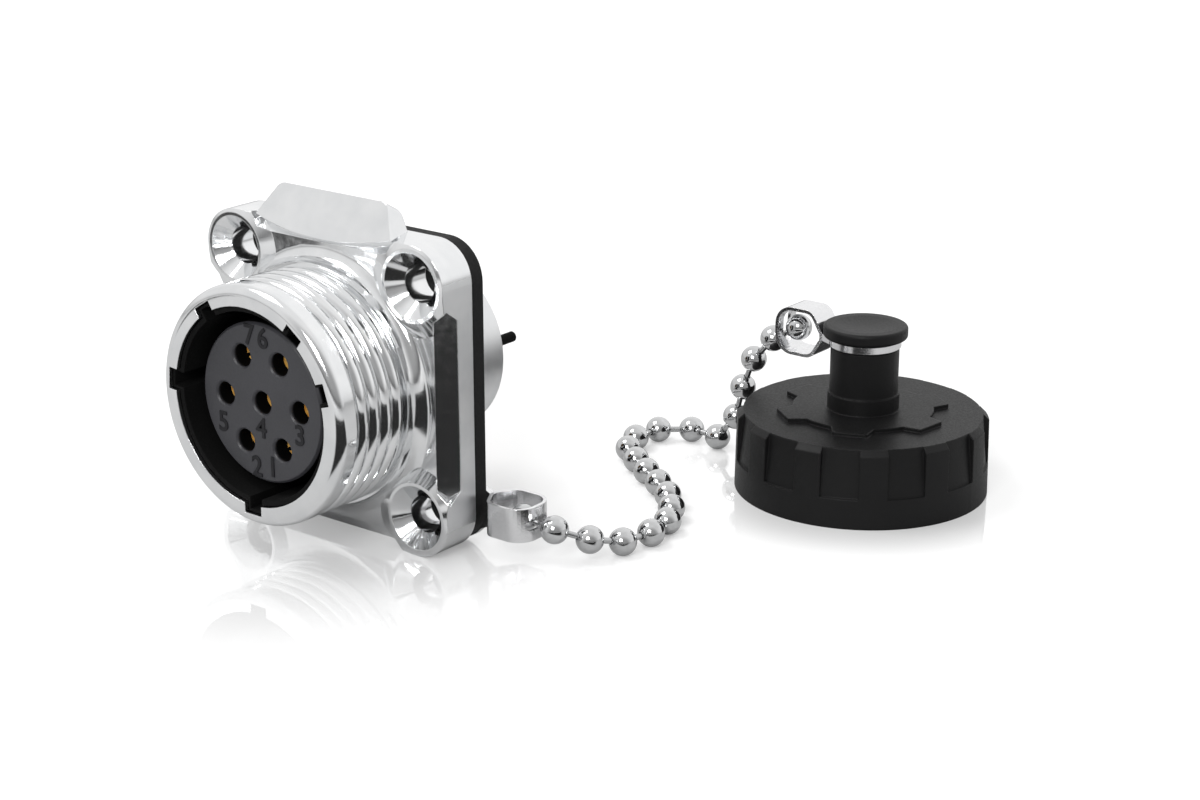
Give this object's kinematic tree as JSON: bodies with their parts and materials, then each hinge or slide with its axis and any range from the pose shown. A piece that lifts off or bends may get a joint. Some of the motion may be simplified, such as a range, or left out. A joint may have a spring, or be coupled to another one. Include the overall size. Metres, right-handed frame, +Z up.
{
  "type": "connector socket",
  "caption": "Square-flange panel socket with a plated threaded barrel, gold contacts in a dark insert and a black screw cap tethered by a ball chain.",
  "frame": {"origin": "centre of the screw holes on the panel face of the gasket, on the mating axis", "axes": "+Y along the mating axis from the mouth into the panel, +Z up, +X right as seen from the mouth"},
  "size_m": [0.055, 0.0576, 0.0294],
  "materials": {
    "plated_casting": "bright plated zinc casting",
    "gasket_rubber": "matt black rubber",
    "carrier_black": "black moulding",
    "insert_grey": "dark grey moulding with dark contact numbers",
    "contact_gold": "gold plated",
    "seal_rubber": "soft black rubber",
    "spring_steel": "spring steel",
    "clip_steel": "plated strip",
    "bead_steel": "polished plated beads",
    "link_steel": "plated wire",
    "cap_black": "matt black moulding"
  },
  "bodies": {
    "socket": {"shell": "plated_casting", "panel_gasket": "gasket_rubber", "insert_carrier": "carrier_black", "contact_insert": "insert_grey", "contact_1": "contact_gold", "contact_2": "contact_gold", "contact_3": "contact_gold", "contact_4": "contact_gold", "contact_5": "contact_gold", "contact_6": "contact_gold", "contact_7": "contact_gold", "earth_sleeve": "carrier_black", "interface_seal": "seal_rubber", "insert_ring_seal": "seal_rubber", "rear_grommet": "seal_rubber", "spring_ring": "spring_steel", "socket_clip": "clip_steel", "chain_beads": "bead_steel", "chain_links": "link_steel", "cap_clip": "clip_steel"},
    "cap_body": {"cap": "cap_black", "cap_seal": "seal_rubber"}
  },
  "joints": [
    {"name": "cap_swivel", "type": "hinge", "parent": "socket", "child": "cap_body", "pos_m": [0.03021, 0.03203, 0.00015], "axis": [0, 0, 1], "continuous": true}
  ]
}
